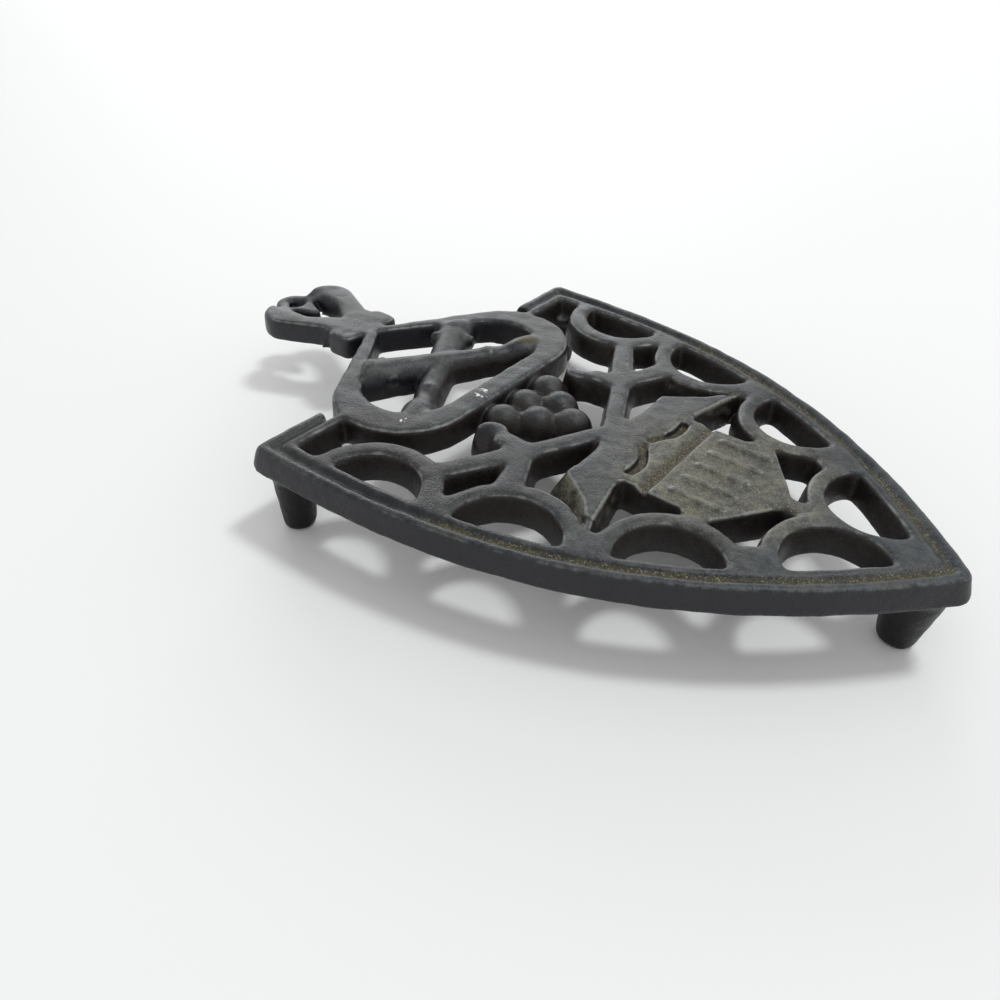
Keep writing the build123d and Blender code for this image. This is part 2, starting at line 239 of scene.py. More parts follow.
class ShaderWork(NodeWork):
    """Adds the shader nodes that several effects use."""

    # Places of a colour mix's sockets among those of all its data types.
    MIX_MASK, MIX_UNDER, MIX_OVER, MIX_RESULT = 0, 6, 7, 2

    def line(self, value: NodeSocket, slope: float, base) -> NodeSocket:
        """Adds a value times a slope plus a base, which is a number or a socket."""
        return self.maths("MULTIPLY_ADD", value, slope, base)

    def blend(self, first: NodeSocket, second: NodeSocket, shares: Pair) -> NodeSocket:
        """Adds the sum of two values, each times its share."""
        parts = [self.maths("MULTIPLY", value, share) for value, share in zip((first, second), shares)]
        return self.maths("ADD", *parts)

    def step(self, value: NodeSocket, bounds: Pair) -> NodeSocket:
        """Adds a smooth step.

        Args:
            value: Socket with the value.
            bounds: Values that give 0 and 1.

        Returns:
            Its output.
        """
        node = self.add("ShaderNodeMapRange", Value=value, From_Min=bounds[0], From_Max=bounds[1])
        node.interpolation_type = "SMOOTHSTEP"
        return node.outputs["Result"]

    def noise(self, vector: NodeSocket, scale, texture: Pair) -> NodeSocket:
        """Adds a noise texture.

        Args:
            vector: Socket with the coordinates.
            scale: Socket or number for its scale.
            texture: Octaves of detail, and strength of the finer ones.

        Returns:
            Its value.
        """
        detail, roughness = texture
        node = self.add("ShaderNodeTexNoise", Vector=vector, Scale=scale, Detail=detail, Roughness=roughness)
        return node.outputs["Fac"]

    def mixed(self, mask: NodeSocket, under, over) -> NodeSocket:
        """Adds a colour mix.

        Args:
            mask: Socket with the share of the upper colour.
            under: Socket or colour below.
            over: Socket or colour on top.

        Returns:
            Its colour.
        """
        node = self.tree.nodes.new("ShaderNodeMix")
        node.data_type = "RGBA"
        self.feed(node.inputs[self.MIX_MASK], mask)
        for place, value in ((self.MIX_UNDER, under), (self.MIX_OVER, over)):
            self.feed(node.inputs[place], (*value, 1.0) if isinstance(value, tuple) else value)
        return node.outputs[self.MIX_RESULT]

    def group(self, effect: NodeTree, **inputs) -> bpy.types.bpy_prop_collection:
        """Places a shared effect.

        Args:
            effect: The node group.
            **inputs: Sockets or values by input name, with underscores for blanks.

        Returns:
            Its outputs by name.
        """
        node = self.tree.nodes.new("ShaderNodeGroup")
        node.node_tree = effect
        return self.fill(node, inputs).outputs

    def mark(self, mark: Mark) -> NodeSocket:
        """Reads one of the surface attributes."""
        node = self.tree.nodes.new("ShaderNodeAttribute")
        node.attribute_name = mark.value
        return node.outputs["Fac"]


class NodeGroups:
    """Shared shader effects, each built once as a node group.

    The pairs are detail and roughness of a noise, shares of two values, bounds of a smooth step, or slope
    and base of a straight line.
    """

    FINE_NOISE = (2.0, 0.55)
    COARSE_NOISE = (5.0, 0.62)
    BROAD_NOISE = (3.0, 0.5)
    BROAD_SCALE = 0.22
    HEIGHT_SHARES = (0.55, 0.9)
    EVEN_SHARES = (0.5, 0.5)
    GRAIN_STEP = (0.54, 0.76)
    CHOICE_STEP = (0.15, 0.40)
    TONE_STEP = (0.38, 0.62)
    PATCH_STEP = (0.40, 0.62)
    BROKEN_EDGE = (0.7, 0.45)
    EDGE_STEP = (0.15, 0.85)
    PATCHY_DIRT = (0.6, 0.5)
    SPECK_SHARE = 0.25
    DIRT_STEP = (0.05, 0.75)
    STAIN_NOISE = (4.0, 0.6)
    STAIN_STEP = (0.0, 0.6)
    STAIN_SHARE = 0.5
    STAIN_FLOOR = (-0.5, 1.25)
    STAIN_EDGE = (0.0, 0.08)

    @staticmethod
    def _begin(name: str, numbers: list[str], vectors: tuple = (), results: tuple = ("Mask",)) -> tuple:
        """Makes an empty group with named sockets.

        Args:
            name: Name of the group.
            numbers: Names of its number inputs.
            vectors: Names of its vector inputs, which come first.
            results: Names of its outputs.

        Returns:
            The work on its tree, its inputs by name and its outputs by name.
        """
        tree = bpy.data.node_groups.new(name, "ShaderNodeTree")
        sockets = [(label, "INPUT", "NodeSocketVector") for label in vectors]
        sockets += [(label, "INPUT", "NodeSocketFloat") for label in numbers]
        sockets += [(label, "OUTPUT", "NodeSocketFloat") for label in results]
        for label, way, kind in sockets:
            tree.interface.new_socket(label, in_out=way, socket_type=kind)
        given = tree.nodes.new("NodeGroupInput").outputs
        return ShaderWork(tree), given, tree.nodes.new("NodeGroupOutput").inputs

    @cached_property
    def cast_grain(self) -> NodeTree:
        """Sand-cast grain: a height for the bump, and tones and specks for colour."""
        work, given, results = self._begin("cast_grain", ["Fine scale", "Coarse scale"], ("Vector",),
                                           ("Height", "Tone", "Patch", "Speck", "Mottle"))
        where = given["Vector"]
        fine = work.noise(where, given["Fine scale"], self.FINE_NOISE)
        coarse = work.noise(where, given["Coarse scale"], self.COARSE_NOISE)
        broad_scale = work.maths("MULTIPLY", given["Coarse scale"], self.BROAD_SCALE)
        broad = work.noise(where, broad_scale, self.BROAD_NOISE)
        cells = work.add("ShaderNodeTexVoronoi", Vector=where, Scale=given["Fine scale"]).outputs
        round_grain = work.step(work.maths("SUBTRACT", 1.0, cells["Distance"]), self.GRAIN_STEP)
        lot = work.add("ShaderNodeSeparateColor", Color=cells["Color"]).outputs["Red"]
        tone = work.blend(coarse, broad, self.EVEN_SHARES)
        mottle = work.blend(fine, coarse, self.EVEN_SHARES)
        work.feed(results["Height"], work.blend(fine, coarse, self.HEIGHT_SHARES))
        work.feed(results["Tone"], work.step(tone, self.TONE_STEP))
        work.feed(results["Patch"], work.step(broad, self.PATCH_STEP))
        work.feed(results["Speck"], work.maths("MULTIPLY", round_grain, work.step(lot, self.CHOICE_STEP)))
        work.feed(results["Mottle"], work.step(mottle, self.TONE_STEP))
        return work.tree

    @cached_property
    def rubbed_edges(self) -> NodeTree:
        """Mask of metal worn through along edges, also a painted highlight there, broken up by the grain."""
        work, given, results = self._begin("rubbed_edges", ["Edge", "Tone", "Amount"])
        worn = work.maths("MULTIPLY", given["Edge"], work.line(given["Tone"], *self.BROKEN_EDGE))
        mask = work.step(worn, self.EDGE_STEP)
        work.feed(results["Mask"], work.maths("MULTIPLY", mask, given["Amount"]))
        return work.tree

    @cached_property
    def settled_dirt(self) -> NodeTree:
        """Mask of dirt that has settled in hollows."""
        numbers = ["Crevice", "Settled", "Tone", "Speck", "Amount"]
        work, given, results = self._begin("settled_dirt", numbers)
        low = work.maths("MAXIMUM", given["Crevice"], given["Settled"])
        lying = work.maths("MULTIPLY", low, work.line(given["Tone"], *self.PATCHY_DIRT))
        speckled = work.line(given["Speck"], self.SPECK_SHARE, lying)
        mask = work.step(work.maths("MULTIPLY", speckled, low), self.DIRT_STEP)
        work.feed(results["Mask"], work.maths("MULTIPLY", mask, given["Amount"]))
        return work.tree

    @cached_property
    def local_stain(self) -> NodeTree:
        """Mask of a stain or of flecks round one point."""
        numbers = ["Radius", "Scale", "Cover"]
        work, given, results = self._begin("local_stain", numbers, ("Vector", "Centre"))
        away = work.tree.nodes.new("ShaderNodeVectorMath")
        away.operation = "DISTANCE"
        work.feed(away.inputs[0], given["Vector"])
        work.feed(away.inputs[1], given["Centre"])
        share = work.maths("DIVIDE", away.outputs["Value"], given["Radius"])
        nearness = work.step(work.maths("SUBTRACT", 1.0, share), self.STAIN_STEP)
        ragged = work.noise(given["Vector"], given["Scale"], self.STAIN_NOISE)
        level = work.line(nearness, self.STAIN_SHARE, ragged)
        over = work.maths("SUBTRACT", level, work.line(given["Cover"], *self.STAIN_FLOOR))
        work.feed(results["Mask"], work.step(over, self.STAIN_EDGE))
        return work.tree


class Foundry:
    """Makes the iron materials from their finishes.

    The scales are per metre. The pairs are slope and base of a straight line, or bounds of a smooth step.
    """

    FINE_SCALE = 2600.0
    COARSE_SCALE = 560.0
    # Tone line of the tops' colour, which is worn surface and painted sheen.
    RUBBED_TOP = (0.65, 0.42)
    PATCHY_DUST = (0.7, 0.35)
    THICK_DUST = (0.70, 1.0)
    DUST_SHARE = 0.45
    GRAIN_COVER = 0.8
    MOTTLING = (0.74, 0.63)
    ROUGHNESS = (0.12, 0.36)
    DIRT_ROUGHNESS = 0.30
    BARE_METAL = 0.6

    def __init__(self, groups: NodeGroups) -> None:
        """Keeps the shared effects."""
        self.groups = groups

    def iron(self, finish: IronFinish) -> Material:
        """Builds the material of a finish.

        Args:
            finish: The finish.

        Returns:
            The material.
        """
        material = bpy.data.materials.new(finish.name)
        material.use_nodes = True
        work = ShaderWork(material.node_tree)
        where = work.tree.nodes.new("ShaderNodeTexCoord").outputs["Object"]
        grain = work.group(self.groups.cast_grain, Vector=where, Fine_scale=self.FINE_SCALE,
                           Coarse_scale=self.COARSE_SCALE)
        tone = grain["Tone"]
        # Bright edges: metal worn through, and a painted highlight where light catches the rounded edges.
        bright_edges = work.group(self.groups.rubbed_edges, Edge=work.mark(Mark.EDGE), Tone=tone,
                          Amount=finish.edge_wear)["Mask"]
        dirt = work.group(self.groups.settled_dirt, Crevice=work.mark(Mark.CREVICE),
                          Settled=work.mark(Mark.SETTLED), Tone=tone, Speck=grain["Speck"],
                          Amount=finish.dirtiness)["Mask"]
        # Lighter, bluer tops: worn smooth by pots, and a painted sheen.
        top = work.maths("MULTIPLY", work.mark(Mark.TOP), work.line(tone, *self.RUBBED_TOP))
        # Dust, and on the wings' sloping faces painted light.
        dust = work.mark(Mark.DUST)
        thin_dust = work.maths("MULTIPLY", dust, work.line(tone, *self.PATCHY_DUST))
        lying = work.line(work.step(dust, self.THICK_DUST), self.DUST_SHARE, dirt)
        grains = work.maths("MULTIPLY", work.maths("MULTIPLY", lying, grain["Speck"]), self.GRAIN_COVER)
        top_wear_and_sheen = work.mixed(grain["Patch"], finish.rubbed, finish.stale)
        colour = work.mixed(work.mark(Mark.INNER), finish.skin, finish.shade)
        layers = ((top, top_wear_and_sheen), (thin_dust, finish.dusty), (dirt, finish.dirt), (grains, finish.grit))
        for mask, over in layers:
            colour = work.mixed(mask, colour, over)
        mottled = work.tree.nodes.new("ShaderNodeVectorMath")
        mottled.operation = "SCALE"
        work.fill(mottled, {"Vector": colour, "Scale": work.line(grain["Mottle"], *self.MOTTLING)})
        # Colour of the bright edges: metal worn through and painted highlight.
        colour = work.mixed(bright_edges, mottled.outputs["Vector"], finish.bare)
        for stain in finish.stains:
            spot = work.group(self.groups.local_stain, Vector=where, Centre=stain.centre,
                              Radius=stain.radius, Scale=stain.grain, Cover=stain.cover)
            colour = work.mixed(spot["Mask"], colour, stain.colour)
        bump = work.add("ShaderNodeBump", Strength=1.0, Distance=finish.grain_height, Height=grain["Height"])
        work.fill(work.tree.nodes["Principled BSDF"], {
            "Base Color": colour,
            "Roughness": work.line(dirt, self.DIRT_ROUGHNESS, work.line(tone, *self.ROUGHNESS)),
            "Specular IOR Level": finish.sheen,
            "Metallic": work.maths("MULTIPLY", bright_edges, self.BARE_METAL),
            "Normal": bump.outputs["Normal"],
        })
        return material


class MeshWork:
    """Operations on meshes that every section uses."""

    # Distance below which the corners of a solid's triangles are one point, in metres.
    WELD = 1e-7

    @staticmethod
    def linked(name: str, mesh: Mesh) -> Object:
        """Puts a mesh into the scene as an object at the origin.

        Args:
            name: Name of the object and its mesh.
            mesh: The mesh.

        Returns:
            The object.
        """
        mesh.name = name
        piece = bpy.data.objects.new(name, mesh)
        bpy.context.scene.collection.objects.link(piece)
        return piece

    @classmethod
    def copy_of(cls, frame: dict, nodes: list[str]) -> Mesh:
        """Copies the solids of some nodes into one mesh, each with its triangles joined.

        Args:
            frame: The loaded frame.
            nodes: Names of the nodes.

        Returns:
            The joined mesh.
        """
        work = bmesh.new()
        for node in nodes:
            work.from_mesh(frame["nodes"][node].data)
        bmesh.ops.remove_doubles(work, verts=work.verts, dist=cls.WELD)
        mesh = bpy.data.meshes.new("copy")
        work.to_mesh(mesh)
        work.free()
        return mesh

    @staticmethod
    def plain(piece: Object) -> None:
        """Turns an object's evaluated shape into its plain mesh and removes its modifiers."""
        graph = bpy.context.evaluated_depsgraph_get()
        graph.update()
        mesh = bpy.data.meshes.new_from_object(piece.evaluated_get(graph))
        piece.modifiers.clear()
        old = piece.data
        piece.data = mesh
        bpy.data.meshes.remove(old)
        mesh.name = piece.name

    @classmethod
    def changed(cls, piece: Object, kind: str, **settings) -> None:
        """Runs a modifier on an object.

        Args:
            piece: Object to change.
            kind: Type of the modifier.
            **settings: Its settings by name.
        """
        modifier = piece.modifiers.new(kind.lower(), kind)
        for label, value in settings.items():
            setattr(modifier, label, value)
        cls.plain(piece)

    @staticmethod
    def tidied(piece: Object) -> None:
        """Takes out the points that only split an edge along a cut, which would leave slivers there."""
        work = bmesh.new()
        work.from_mesh(piece.data)
        splitting = [vertex for vertex in work.verts if len(vertex.link_edges) == 2]
        bmesh.ops.dissolve_verts(work, verts=splitting)
        work.to_mesh(piece.data)
        work.free()

    @classmethod
    def prism(cls, name: str, corners: Plan, low: float, high: float) -> Object:
        """A closed upright prism on a plan.

        Args:
            name: Name of the object.
            corners: Corners of the plan, in millimetres, anticlockwise.
            low: Height of its bottom, in millimetres.
            high: Height of its top, in millimetres.

        Returns:
            The object.
        """
        count = len(corners)
        points = [(x * MM, y * MM, z * MM) for z in (low, high) for x, y in corners]
        sides = [(i, (i + 1) % count, count + (i + 1) % count, count + i) for i in range(count)]
        caps = [tuple(reversed(range(count))), tuple(range(count, 2 * count))]
        mesh = bpy.data.meshes.new(name)
        mesh.from_pydata(points, [], sides + caps)
        return cls.linked(name, mesh)

    @staticmethod
    def discard(piece: Object) -> None:
        """Removes an object and its mesh."""
        mesh = piece.data
        bpy.data.objects.remove(piece)
        bpy.data.meshes.remove(mesh)


class Neighbours:
    """The vertices that share an edge with each vertex of a mesh."""

    def __init__(self, mesh: Mesh) -> None:
        """Reads the edges of a mesh."""
        flat = np.empty(len(mesh.edges) * 2, np.int32)
        mesh.edges.foreach_get("vertices", flat)
        pairs = flat.reshape(-1, 2)
        self.count = len(mesh.vertices)
        self.ends = np.concatenate([pairs[:, 0], pairs[:, 1]])
        self.others = np.concatenate([pairs[:, 1], pairs[:, 0]])
        self.valence = np.maximum(np.bincount(self.ends, minlength=self.count), 1)

    def mean(self, values: np.ndarray) -> np.ndarray:
        """Mean of a value over each vertex's neighbours."""
        return np.bincount(self.ends, weights=values[self.others], minlength=self.count) / self.valence

    def reach(self, places: np.ndarray) -> np.ndarray:
        """Mean square distance from each vertex to its neighbours."""
        lengths = np.linalg.norm(places[self.ends] - places[self.others], axis=1)
        return np.bincount(self.ends, weights=lengths ** 2, minlength=self.count) / self.valence

    def spread(self, values: np.ndarray, passes: int, share: float) -> np.ndarray:
        """Evens a value out over the mesh.

        Args:
            values: Value at each vertex.
            passes: How often it is evened out.
            share: Share that each vertex takes from its neighbours in a pass.

        Returns:
            The evened value at each vertex.
        """
        for _ in range(passes):
            values = (1.0 - share) * values + share * self.mean(values)
        return values


def eased(values: np.ndarray, low: float, high: float) -> np.ndarray:
    """Smooth step of each value, from 0 at low to 1 at high."""
    share = np.clip((values - low) / (high - low), 0.0, 1.0)
    return share * share * (3.0 - 2.0 * share)


def faded(depth: np.ndarray, reach: float | np.ndarray) -> np.ndarray:
    """Share that falls from 1 at no depth to 0 at a reach."""
    return np.clip(1.0 - depth / reach, 0.0, 1.0)


def inside(corners: Plan, points: np.ndarray) -> np.ndarray:
    """Whether each point lies inside a plan.

    Args:
        corners: Corners of the plan, in millimetres.
        points: Points in millimetres, one row each.

    Returns:
        True for each point inside.
    """
    found = np.zeros(len(points), bool)
    for (x0, y0), (x1, y1) in zip(corners, corners[1:] + corners[:1]):
        if y0 == y1:
            continue
        crosses = (points[:, 1] < y0) != (points[:, 1] < y1)
        found ^= crosses & (points[:, 0] < x0 + (points[:, 1] - y0) * (x1 - x0) / (y1 - y0))
    return found


def both_sides(right: Plan) -> Plan:
    """Anticlockwise plan of a right-hand outline and its mirror image."""
    return right + [(x, -y) for x, y in reversed(right)]


class GeometryTree(NodeWork):
    """A Geometry Nodes tree with named inputs that ends in Realize Instances and Set Material."""

    def __init__(self, name: str, inputs: dict[str, float]) -> None:
        """Makes the tree's sockets.

        Args:
            name: Name of the tree.
            inputs: Values by input name.
        """
        super().__init__(bpy.data.node_groups.new(name, "GeometryNodeTree"))
        self.values = inputs
        self.keys: dict[str, str] = {}
        sockets = self.tree.interface
        sockets.new_socket("Geometry", in_out="INPUT", socket_type="NodeSocketGeometry")
        for label in inputs:
            socket = sockets.new_socket(label, in_out="INPUT", socket_type="NodeSocketFloat")
            self.keys[label] = socket.identifier
        sockets.new_socket("Geometry", in_out="OUTPUT", socket_type="NodeSocketGeometry")
        self.given = self.tree.nodes.new("NodeGroupInput").outputs

    def place(self, x=0.0, y=0.0, z=0.0) -> NodeSocket:
        """Adds a vector made from three sockets or numbers."""
        return self.add("ShaderNodeCombineXYZ", X=x, Y=y, Z=z).outputs[0]

    def piece(self, name: str, shape: NodeSocket, material: Material) -> Object:
        """Ends the tree, runs it and gives its result as a plain mesh object.

        Args:
            name: Name of the object.
            shape: Socket with the finished geometry.
            material: Material of the geometry.

        Returns:
            The object.
        """
        realized = self.add("GeometryNodeRealizeInstances", Geometry=shape)
        dressed = self.add("GeometryNodeSetMaterial", Geometry=realized.outputs[0], Material=material)
        self.feed(self.tree.nodes.new("NodeGroupOutput").inputs[0], dressed.outputs[0])
        made = MeshWork.linked(name, bpy.data.meshes.new(name))
        modifier = made.modifiers.new("tree", "NODES")
        modifier.node_group = self.tree
        for label, value in self.values.items():
            modifier[self.keys[label]] = value
        MeshWork.plain(made)
        return made


@dataclass
class BallPile:
    """Pile of cannonballs against the front of the loop.

    Attributes:
        radius: Radius of a ball, in metres.
        pitch: Distance between two balls of a row, in metres.
        row_pitch: Distance between two rows, in metres.
        seat: Depth to which the first row is let into the loop, in metres.
        bed: Radius of the bed under a ball, in metres.
        rows: Number of rows.
        around: Faces round a ball.
        rings: Faces from its top to its bottom.
    """

    radius: float = 4.2 * MM
    pitch: float = 7.8 * MM
    row_pitch: float = 5.9 * MM
    seat: float = 0.3 * MM
    bed: float = 4.6 * MM
    rows: int = 3
    around: int = 64
    rings: int = 40

    def nodes(self) -> list[str]:
        """Names of the nodes of the balls."""
        count = self.rows * (self.rows + 1) // 2
        return ["cannonball_" + str(number) for number in range(1, count + 1)]

    def mesh(self, material: Material) -> Object:
        """Rows of domed balls on their bed, one fewer in each row.

        Args:
            material: Material of the balls.

        Returns:
            The object.
        """
        low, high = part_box(self.nodes()[-1])
        start_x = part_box("loop_front_bar")[1].x + self.radius - self.seat
        tree = GeometryTree("ball_pile", {
            "Radius": self.radius, "Pitch": self.pitch, "Row pitch": self.row_pitch,
            "Bed radius": self.bed, "Start": start_x, "Crown": high.z, "Foot": low.z,
        })
        given = tree.given
        maths = tree.maths
        centre_z = maths("SUBTRACT", given["Crown"], given["Radius"])
        rows = tree.add("GeometryNodeJoinGeometry")
        for row in range(self.rows):
            count = self.rows - row
            x = maths("ADD", given["Start"], maths("MULTIPLY", given["Row pitch"], float(row)))
            first_y = maths("MULTIPLY", given["Pitch"], -(count - 1) / 2)
            start = tree.place(x, first_y, centre_z)
            line = tree.add("GeometryNodeMeshLine", Count=count, Start_Location=start,
                            Offset=tree.place(y=given["Pitch"]))
            tree.feed(rows.inputs[0], line.outputs[0])
        dome = tree.add("GeometryNodeMeshUVSphere", Segments=self.around, Rings=self.rings,
                        Radius=given["Radius"])
        depth = maths("SUBTRACT", centre_z, given["Foot"])
        post = tree.add("GeometryNodeMeshCylinder", Vertices=self.around, Radius=given["Bed radius"],
                        Depth=depth)
        lowered = tree.add("GeometryNodeTransform", Geometry=post.outputs["Mesh"],
                           Translation=tree.place(z=maths("MULTIPLY", depth, -0.5)))
        ball = tree.add("GeometryNodeJoinGeometry")
        tree.feed(ball.inputs[0], dome.outputs["Mesh"])
        tree.feed(ball.inputs[0], lowered.outputs[0])
        placed = tree.add("GeometryNodeInstanceOnPoints", Points=rows.outputs[0], Instance=ball.outputs[0])
        return tree.piece("ball_pile", placed.outputs[0], material)


@dataclass
class CastSection:
    """One sub-assembly of the trivet, cut out of the poured casting.

    Attributes:
        name: Name of its piece.
        finish: Its finish.
    """

    name: str
    finish: IronFinish

    # Angle between two faces above which the edge between them is sharp, in degrees.
    SHARP = 62.0

    def nodes(self) -> list[str]:
        """Names of the nodes that this section stands for."""
        raise NotImplementedError

    def plan(self) -> Plan:
        """Plan of the space that the section fills, in millimetres, anticlockwise."""
        raise NotImplementedError

    def ceiling(self) -> float:
        """Height up to which the section goes, in millimetres."""
        return 2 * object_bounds()[1].z / MM

    def build(self, casting: Casting, material: Material) -> Object:
        """Cuts the section out of the casting and takes its space away from it.

        Args:
            casting: The poured casting.
            material: Material of the section.

        Returns:
            The finished piece.
        """
        piece = casting.taken(self.name, self.plan(), self.ceiling())
        self.install(piece, material)
        return piece

    def install(self, piece: Object, material: Material) -> None:
        """Dresses a finished piece, ties it to the body and hides the nodes that it stands for.

        Args:
            piece: The finished piece.
            material: Its material.
        """
        mesh = piece.data
        mesh.materials.clear()
        mesh.materials.append(material)
        mesh.polygons.foreach_set("use_smooth", [True] * len(mesh.polygons))
        mesh.set_sharp_from_angle(angle=math.radians(self.SHARP))
        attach(piece, BODY)
        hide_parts(*self.nodes())
        log.info("%s: %d faces", piece.name, len(mesh.polygons))


@dataclass
class HeartHandle(CastSection):
    """Heart with the hanging eye, and the collar in front of it.

    Attributes:
        reach: How far its space goes back, in millimetres.
        half_width: Half of the width of its space, in millimetres.
    """

    reach: float = 100.0
    half_width: float = 20.0

    def nodes(self) -> list[str]:
        """Names of the nodes that this section stands for."""
        return ["heart_lobe_left", "heart_lobe_right", "handle_collar"]

    def plan(self) -> Plan:
        """Everything behind the front of the collar."""
        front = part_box("handle_collar")[1].x / MM
        return both_sides([(-self.reach, -self.half_width), (front, -self.half_width)])


@dataclass
class CannonLoop(CastSection):
    """Handle loop with the crossed cannon and the pile of balls.

    Attributes:
        pile: The balls.
        collar_half_width: Half of the width of its space behind, in millimetres.
        outline: Right-hand corners of its space from there to the tip of the pile, in millimetres.
    """

    pile: BallPile = field(default_factory=BallPile)
    collar_half_width: float = 14.0
    outline: tuple[Pair, ...] = (
        (-34.5, -30.4), (-29.3, -31.7), (-25.2, -33.4), (-19.0, -33.0), (-13.0, -28.7), (-8.4, -24.5),
        (-7.2, -14.0), (-4.8, -12.8), (0.5, -12.0), (4.0, -9.5), (9.0, -6.3), (11.3, -1.0),
    )

    def nodes(self) -> list[str]:
        """Names of the nodes that this section stands for."""
        loop = ["loop_front_bar", "loop_arm_left", "loop_arm_right", "cannon_over", "cannon_under"]
        return loop + self.pile.nodes()

    def plan(self) -> Plan:
        """A line round the loop and the balls that crosses the casting at the heel bars alone."""
        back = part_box("handle_collar")[1].x / MM
        return both_sides([(back, -self.collar_half_width), *self.outline])


@dataclass
class Shield(CastSection):
    """Chief and ribbed field of the shield.

    Attributes:
        outline: Right-hand corners from its peak to its neck, in millimetres.
    """

    outline: tuple[Pair, ...] = (
        (24.1, -0.4), (28.0, -6.6), (26.8, -13.9), (34.0, -14.2), (46.0, -14.8), (50.0, -8.0), (56.0, -2.4),
    )

    def nodes(self) -> list[str]:
        """Names of the nodes that this section stands for."""
        return ["shield_chief", "shield_field"]

    def plan(self) -> Plan:
        """Outline of the shield."""
        return both_sides(list(self.outline))


@dataclass
class OpenworkSide(CastSection):
    """Rim rail, heel bar, arches, scroll and wing of one side.

    Attributes:
        side: Which side it is.
        arches: Number of arches along the rim.
        reach: How far its space goes each way, in millimetres.
    """

    side: Side = Side.RIGHT
    arches: int = 4
    reach: float = 100.0

    def nodes(self) -> list[str]:
        """Names of the nodes that this section stands for."""
        stems = ["rim_rail", "base_bar", "scroll", "wing"]
        stems += ["arch_" + str(number) for number in range(1, self.arches + 1)]
        names = [stem + "_" + self.side.value for stem in stems]
        return names + (["nose_plate"] if self.side is Side.RIGHT else [])

    def plan(self) -> Plan:
        """One half of the whole plan."""
        outer = self.reach if self.side is Side.LEFT else -self.reach
        low, high = min(0.0, outer), max(0.0, outer)
        return [(-self.reach, low), (self.reach, low), (self.reach, high), (-self.reach, high)]


@dataclass
class Foot(CastSection):
    """One tapered foot with a rounded sole, poured with the rim that it stands under.

    Attributes:
        node: Node that it stands for.
        sole_share: Radius of the sole as a share of the root's.
        sole_round: Radius of the sole's edge, in metres.
        half_room: Half of the width of the space that holds the foot, in millimetres.
        seam: How far below the casting the foot is parted from it, in metres.
        around: Faces round the foot.
        rings: Faces from its root to its sole.
    """

    node: str = "nose_foot"
    sole_share: float = 0.745
    sole_round: float = 0.9 * MM
    half_room: float = 8.0
    seam: float = 0.5 * MM
    around: int = 96
    rings: int = 60

    def nodes(self) -> list[str]:
        """Name of the node that this section stands for."""
        return [self.node]

    def plan(self) -> Plan:
        """A square round the foot."""
        low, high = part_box(self.node)
        x = (low.x + high.x) / 2 / MM
        y = (low.y + high.y) / 2 / MM
        room = self.half_room
        return [(x - room, y - room), (x + room, y - room), (x + room, y + room), (x - room, y + room)]

    def ceiling(self) -> float:
        """Height at which the foot is parted from the casting, in millimetres."""
        return (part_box("loop_front_bar")[0].z - self.seam) / MM

    def mesh(self, material: Material) -> Object:
        """Turns a peg that widens to its root.

        Args:
            material: Material of the foot.

        Returns:
            The object.
        """
        low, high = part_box(self.node)
        root_radius = (high.x - low.x) / 2
        tree = GeometryTree("turned_foot", {
            "Height": high.z, "Root radius": root_radius,
            "Sole radius": root_radius * self.sole_share, "Sole round": self.sole_round,
            "Place X": (low.x + high.x) / 2, "Place Y": (low.y + high.y) / 2,
        })
        given = tree.given
        maths = tree.maths
        height = given["Height"]
        peg = tree.add("GeometryNodeMeshCylinder", Vertices=self.around, Side_Segments=self.rings,
                       Radius=1.0, Depth=height)
        position = tree.add("GeometryNodeInputPosition").outputs[0]
        spot = tree.add("ShaderNodeSeparateXYZ", Vector=position).outputs
        rise = maths("ADD", spot["Z"], maths("MULTIPLY", height, 0.5))
        along = maths("DIVIDE", rise, height)
        spread = maths("SUBTRACT", given["Root radius"], given["Sole radius"])
        line = maths("ADD", given["Sole radius"], maths("MULTIPLY", spread, along))
        curl = maths("MINIMUM", maths("DIVIDE", rise, given["Sole round"]), 1.0)
        left = maths("SUBTRACT", 1.0, curl)
        bow = maths("SQRT", maths("SUBTRACT", 1.0, maths("MULTIPLY", left, left)))
        taken = maths("MULTIPLY", given["Sole round"], maths("SUBTRACT", 1.0, bow))
        radius = maths("SUBTRACT", line, taken)
        x = maths("ADD", given["Place X"], maths("MULTIPLY", spot["X"], radius))
        y = maths("ADD", given["Place Y"], maths("MULTIPLY", spot["Y"], radius))
        turned = tree.place(x, y, rise)
        shaped = tree.add("GeometryNodeSetPosition", Geometry=peg.outputs["Mesh"], Position=turned)
        return tree.piece(self.name, shaped.outputs[0], material)


@dataclass(frozen=True)
class Patch:
    """A rectangle in plan, with its mirror image.

    Attributes:
        middle: Its middle, in millimetres.
        half: Half of its length and of its width, in millimetres.
    """

    middle: Pair
    half: Pair

    def covers(self, flat: np.ndarray) -> np.ndarray:
        """Whether each place in plan, in millimetres, is on it."""
        along = np.abs(flat[:, 0] - self.middle[0]) < self.half[0]
        return along & (np.abs(np.abs(flat[:, 1]) - self.middle[1]) < self.half[1])


WING_FACE = Patch((22.5, 20.5), (7.5, 5.5))
SHIELD_TOP = Patch((38.0, 0.0), (13.0, 14.0))
RIBS = Patch((41.5, 0.0), (8.5, 13.5))
PILE = Patch((3.0, 0.0), (10.0, 12.5))
BARRELS = Patch((-63.0, 0.0), (50.0, 14.0))


